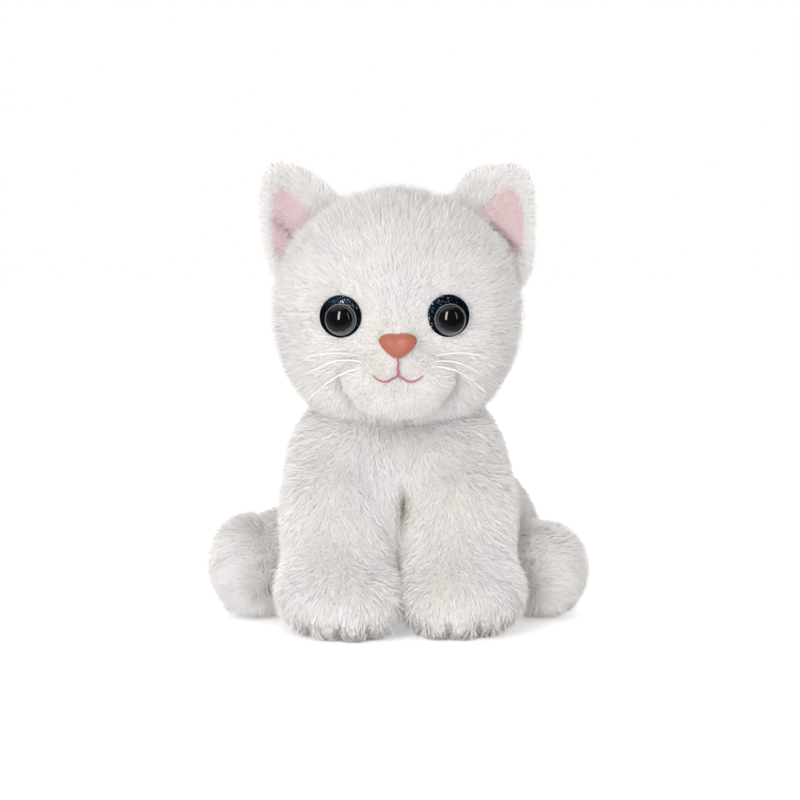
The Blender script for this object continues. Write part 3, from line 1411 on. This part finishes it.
def sew(name, paths, girths, step, length, material, slant=0.0):
    """Sews rows of stitches along paths of points in millimetres."""
    mesh = bpy.data.meshes.new(name)
    points = [tuple(np.array(point) * MM) for path in paths for point in path]
    edges, first = [], 0
    for path in paths:
        edges += [(first + n, first + n + 1) for n in range(len(path) - 1)]
        first += len(path)
    mesh.from_pydata(points, edges, [])
    work = bpy.data.objects.new(name, mesh)
    bpy.context.collection.objects.link(work)
    store(work, "girth", "FLOAT", [girth * MM for row in girths for girth in row])
    maker = work.modifiers.new("stitches", "NODES")
    maker.node_group = sewing
    set_modifier(maker, {"Step": step * MM, "Length": length * MM, "Slant": slant,
                         "Material": material})
    graph = bpy.context.evaluated_depsgraph_get()
    row = bpy.data.meshes.new_from_object(work.evaluated_get(graph))
    bpy.data.objects.remove(work)
    return finished(name, row)


def skin_tree(piece):
    """For finding the nearest place on a skin."""
    points, _ = skin_points(piece)
    faces = [tuple(polygon.vertices) for polygon in piece.data.polygons]
    return BVHTree.FromPolygons([tuple(point) for point in points], faces)


def drop_on(tree, point, way, above):
    """The place where a line from a point along a way first meets a skin, lifted a little."""
    place, normal, _, _ = tree.ray_cast(Vector(point), Vector(way))
    if place is None:
        place, normal, _, _ = tree.find_nearest(Vector(point))
    return np.array(place + normal * above)


muzzle_surface = skin_tree(muzzle_skin)


def on_muzzle(x, z, above=1.9):
    return drop_on(muzzle_surface, (x, muzzle_front - 40, z), (0, 1, 0), above)


mouth_z = nose_z - 10.8
curve_steps = np.linspace(0, 1, 16)
smiles = []
for sign in (-1, 1):
    smiles.append([on_muzzle(sign * mouth_width * t,
                             mouth_z - mouth_drop * math.sin(math.pi * min(t * 0.92, 1)) ** 0.9
                             - 0.6 * t)
                   for t in curve_steps])
philtrum = [on_muzzle(0.15 * math.sin(5 * t), nose_z - 5 + (mouth_z - nose_z + 5.3) * t)
            for t in curve_steps]
taper = [0.95 - 0.5 * max(t - 0.45, 0) / 0.55 for t in curve_steps]
mouth = sew("mouth_embroidery", smiles + [philtrum], [taper, taper, [0.85] * 16], 0.9, 1.55,
            thread_material("mouth_thread", thread_pink), slant=0.28)
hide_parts("mouth_stitches")
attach(mouth, "head")


# Whiskers. Three tapered nylon filaments on each side, set in the muzzle and bent down a little
# by their own weight.

whisker_root = 12.4
whisker_thick = 0.62
whisker_ways = (
    (4.2, (-37.0, 113.2), 2.2), (2.2, (-37.2, 106.4), 3.4), (0.4, (-36.6, 96.0), 3.2),
    (4.2, (37.0, 113.0), 2.4), (2.4, (34.6, 106.0), 3.0), (0.6, (35.4, 99.4), 3.4),
)


def filament(points, radii, sides=8):
    """A closed round thread along points, with its own radius at each."""
    shell = bmesh.new()
    rows = []
    for number, here in enumerate(points):
        ahead = points[min(number + 1, len(points) - 1)]
        behind = points[max(number - 1, 0)]
        way = Vector(ahead - behind).normalized()
        side = way.cross(Vector((0, 0, 1))).normalized()
        up = side.cross(way)
        rows.append([shell.verts.new((Vector(here) + radii[number] * (
            math.cos(2 * math.pi * s / sides) * side + math.sin(2 * math.pi * s / sides) * up))
            * MM) for s in range(sides)])
    tube_wall(shell, rows)
    shell.faces.new(rows[0][::-1])
    shell.faces.new(rows[-1])
    bmesh.ops.recalc_face_normals(shell, faces=shell.faces)
    return shell


def joined_threads(name, shells):
    """Several threads as one piece."""
    whole = bmesh.new()
    for shell in shells:
        part = bpy.data.meshes.new("part")
        shell.to_mesh(part)
        whole.from_mesh(part)
        shell.free()
        bpy.data.meshes.remove(part)
    return finished(name, as_mesh(name, whole))


nylon, nylon_tree, nylon_surface = new_material("whisker_nylon")
nylon_haze = node(nylon_tree, "ShaderNodeTexNoise", Scale=700.0)
nylon_tone = tone_ramp(nylon_tree, (0.0, (0.86, 0.85, 0.83)), (1.0, (0.97, 0.97, 0.96)))
join(nylon_tree, (nylon_haze, "Fac", nylon_tone, "Fac"),
     (nylon_tone, "Color", nylon_surface, "Base Color"))
nylon_surface.inputs["Roughness"].default_value = 0.3
filaments = {"left": [], "right": []}
for rise, (tip_x, tip_z), sag in whisker_ways:
    sign = 1 if tip_x > 0 else -1
    root = on_muzzle(sign * whisker_root, nose_z - 8.0 + rise * 0.8, above=-1.0)
    tip = np.array((tip_x, root[1] + 2.5, tip_z))
    path = []
    for t in np.linspace(0, 1, 22):
        point = root * (1 - t) + tip * t
        point = point + np.array((0, -3.2 * math.sin(math.pi * t), sag * math.sin(math.pi * t)))
        path.append(point)
    radii = [float(whisker_thick / 2 * (1.1 - 0.62 * t)) for t in np.linspace(0, 1, 22)]
    filaments["left" if sign > 0 else "right"].append(filament(path, radii))
for side in ("left", "right"):
    whiskers = joined_threads(f"whisker_set_{side}", filaments[side])
    whiskers.data.materials.append(nylon)
    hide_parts(f"whiskers_{side}")
    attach(whiskers, "head")


# Hand stitches. White thread pulled down between the toes to part them, and the ladder of stitches
# that closes the back seam after stuffing.

seam_thread = thread_material("white_sewing_thread", (0.86, 0.84, 0.80))
for side in ("left", "right"):
    leg_surface = skin_tree(foreleg_skins[side])
    threads = []
    for spot in toe_lines(side):
        path = [drop_on(leg_surface, (spot[0], -130, z), (0, 1, 0), 0.25)
                for z in np.linspace(15, 2.5, 14)]
        threads.append(filament(path, [0.42] * len(path)))
    stitches = joined_threads(f"toe_threads_{side}", threads)
    stitches.data.materials.append(seam_thread)
    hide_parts(f"front_toe_stitches_{side}")
    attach(stitches, f"front_leg_{side}")
body_surface = skin_tree(body_skin)
stitch_low, stitch_high = span("back_closing_stitches")
ladder = []
for number, z in enumerate(np.linspace(stitch_low[2], stitch_high[2], 9)):
    rung = (stitch_high[0], stitch_low[0])
    for across in rung[::-1] if number % 2 else rung:
        ladder.append(drop_on(body_surface, (across, 130, z), (0, -1, 0), 0.5))
closing = joined_threads("back_closing_ladder", [filament(ladder, [0.4] * len(ladder))])
closing.data.materials.append(seam_thread)
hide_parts("back_closing_stitches")
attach(closing, "torso")


# Label. A plain white satin ribbon, folded in half and caught in the back seam below the closing
# stitches; it stands out through the pile.

ribbon_width = 12.0
ribbon_half = 15.0
ribbon_thick = 0.3


def ribbon_mesh():
    """A folded strip that leaves the skin, droops and comes back just behind itself."""
    low, high = span("sewn_label")
    across = (low[0] + high[0]) / 2
    start = drop_on(body_surface, (across, 130, high[2]), (0, -1, 0), -0.6)
    line = []
    for t in np.linspace(0, 1, 14):
        line.append(start + (0, 7.5 * t ** 0.8, -ribbon_half * 0.82 * t))
    fold = line[-1] + (0, -0.45, -0.5)
    line += [fold] + [point + (0, -0.9, 0) for point in reversed(line[:14])]
    shell = bmesh.new()
    rows = []
    for number, point in enumerate(line):
        before, after = line[max(number - 1, 0)], line[min(number + 1, len(line) - 1)]
        way = (after - before) / np.linalg.norm(after - before)
        normal = np.array((0, -way[2], way[1]))
        rows.append([[shell.verts.new(Vector(point + (ribbon_width * (s - 0.5),
                                                      -0.9 * (s - 0.5) ** 2 * 4, 0)
                                             + normal * ribbon_thick * face) * MM)
                      for s in np.linspace(0, 1, 9)] for face in (-0.5, 0.5)])
    for below, above in zip(rows, rows[1:]):
        for face in (0, 1):
            for s in range(8):
                shell.faces.new((below[face][s], below[face][s + 1],
                                 above[face][s + 1], above[face][s]))
        for s in (0, 8):
            shell.faces.new((below[0][s], above[0][s], above[1][s], below[1][s]))
    for row in (rows[0], rows[-1]):
        for s in range(8):
            shell.faces.new((row[0][s], row[0][s + 1], row[1][s + 1], row[1][s]))
    bmesh.ops.recalc_face_normals(shell, faces=shell.faces)
    return as_mesh("label_ribbon", shell)


label = finished("back_label_ribbon", ribbon_mesh(),
                 cloth_material("label_satin", (0.88, 0.88, 0.86), rib_scale=2200.0, sheen=0.6))
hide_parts("sewn_label")
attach(label, "torso")


# Stage: a plain pale floor, soft studio light and the camera a little above the cat's face.

view_width = 1000 / 3
camera_distance = 950.0
camera_height = 5.0


def stage_floor():
    mesh = bpy.data.meshes.new("floor")
    mesh.from_pydata([(-4, -4, 0), (4, -4, 0), (4, 4, 0), (-4, 4, 0)], [], [(0, 1, 2, 3)])
    material, tree, surface = new_material("floor_paper")
    grain = node(tree, "ShaderNodeTexNoise", Scale=300.0)
    rough = node(tree, "ShaderNodeMapRange", To_Min=0.75, To_Max=0.9)
    join(tree, (grain, "Fac", rough, "Value"), (rough, "Result", surface, "Roughness"))
    surface.inputs["Base Color"].default_value = (0.98, 0.98, 0.98, 1)
    surface.inputs["Emission Color"].default_value = (1, 1, 1, 1)
    seen = node(tree, "ShaderNodeLightPath")
    glow = node(tree, "ShaderNodeMapRange", To_Min=0.08, To_Max=0.42)
    join(tree, (seen, "Is Camera Ray", glow, "Value"),
         (glow, "Result", surface, "Emission Strength"))
    floor = finished("floor", mesh, material)
    floor.visible_glossy = False


def soft_box(name, place, aim, width, height, power, mirrored=True):
    lamp = bpy.data.lights.new(name, "AREA")
    lamp.shape = "RECTANGLE"
    lamp.size, lamp.size_y, lamp.energy = width, height, power
    holder = bpy.data.objects.new(name, lamp)
    holder.location = place
    holder.rotation_euler = (Vector(aim) - Vector(place)).to_track_quat("-Z", "Y").to_euler()
    holder.visible_glossy = mirrored
    bpy.context.collection.objects.link(holder)


stage_floor()
soft_box("left_box", (-0.34, -1.08, 0.64), (0, -0.03, 0.12), 0.24, 1.1, 5.1)
soft_box("right_box", (0.80, -0.80, 0.58), (0, -0.03, 0.12), 0.14, 0.8, 0.6)
soft_box("back_fill", (0.3, 1.3, 0.7), (0, 0, 0.1), 1.0, 1.0, 3.0)
soft_box("front_fill", (-0.05, -1.0, 0.03), (0, -0.03, 0.03), 1.2, 0.2, 6.4, mirrored=False)
overhead = bpy.data.objects.new("overhead", bpy.data.lights.new("overhead", "SUN"))
overhead.data.energy = 0.3
overhead.data.angle = 1.3
overhead.rotation_euler = (math.radians(-12), math.radians(-14), 0)
bpy.context.collection.objects.link(overhead)
sky = bpy.data.worlds.new("studio")
bpy.context.scene.world = sky
sky.use_nodes = True
backdrop = sky.node_tree.nodes["Background"]
backdrop.inputs["Color"].default_value = (1, 1, 1, 1)
ways = node(sky.node_tree, "ShaderNodeTexCoord")
apart = node(sky.node_tree, "ShaderNodeSeparateXYZ")
from_right = node(sky.node_tree, "ShaderNodeMapRange", From_Min=-0.2, To_Min=0.64, To_Max=0.34)
seen = node(sky.node_tree, "ShaderNodeLightPath")
lit = node(sky.node_tree, "ShaderNodeMapRange", To_Max=1.0)
mirrored = node(sky.node_tree, "ShaderNodeMapRange", To_Min=1.0, To_Max=0.12)
strength = node(sky.node_tree, "ShaderNodeMath", operation="MULTIPLY")
join(sky.node_tree, (ways, "Generated", apart, 0), (apart, "X", from_right, "Value"),
     (from_right, "Result", lit, "To Min"), (seen, "Is Camera Ray", lit, "Value"),
     (seen, "Is Glossy Ray", mirrored, "Value"), (lit, "Result", strength, 0),
     (mirrored, "Result", strength, 1), (strength, 0, backdrop, "Strength"))
lens = bpy.data.cameras.new("camera")
lens.sensor_width = 36
lens.lens = lens.sensor_width * camera_distance / view_width
camera = bpy.data.objects.new("camera", lens)
aim = Vector((0.8, -30, 93)) * MM
rise = math.radians(camera_height)
camera.location = aim + Vector((0, -math.cos(rise), math.sin(rise))) * camera_distance * MM
camera.rotation_euler = (aim - camera.location).to_track_quat("-Z", "Y").to_euler()
bpy.context.collection.objects.link(camera)
bpy.context.scene.camera = camera
bpy.context.scene.view_settings.view_transform = "Standard"
bpy.data.objects.remove(fibre)
bpy.data.objects.remove(stitch)
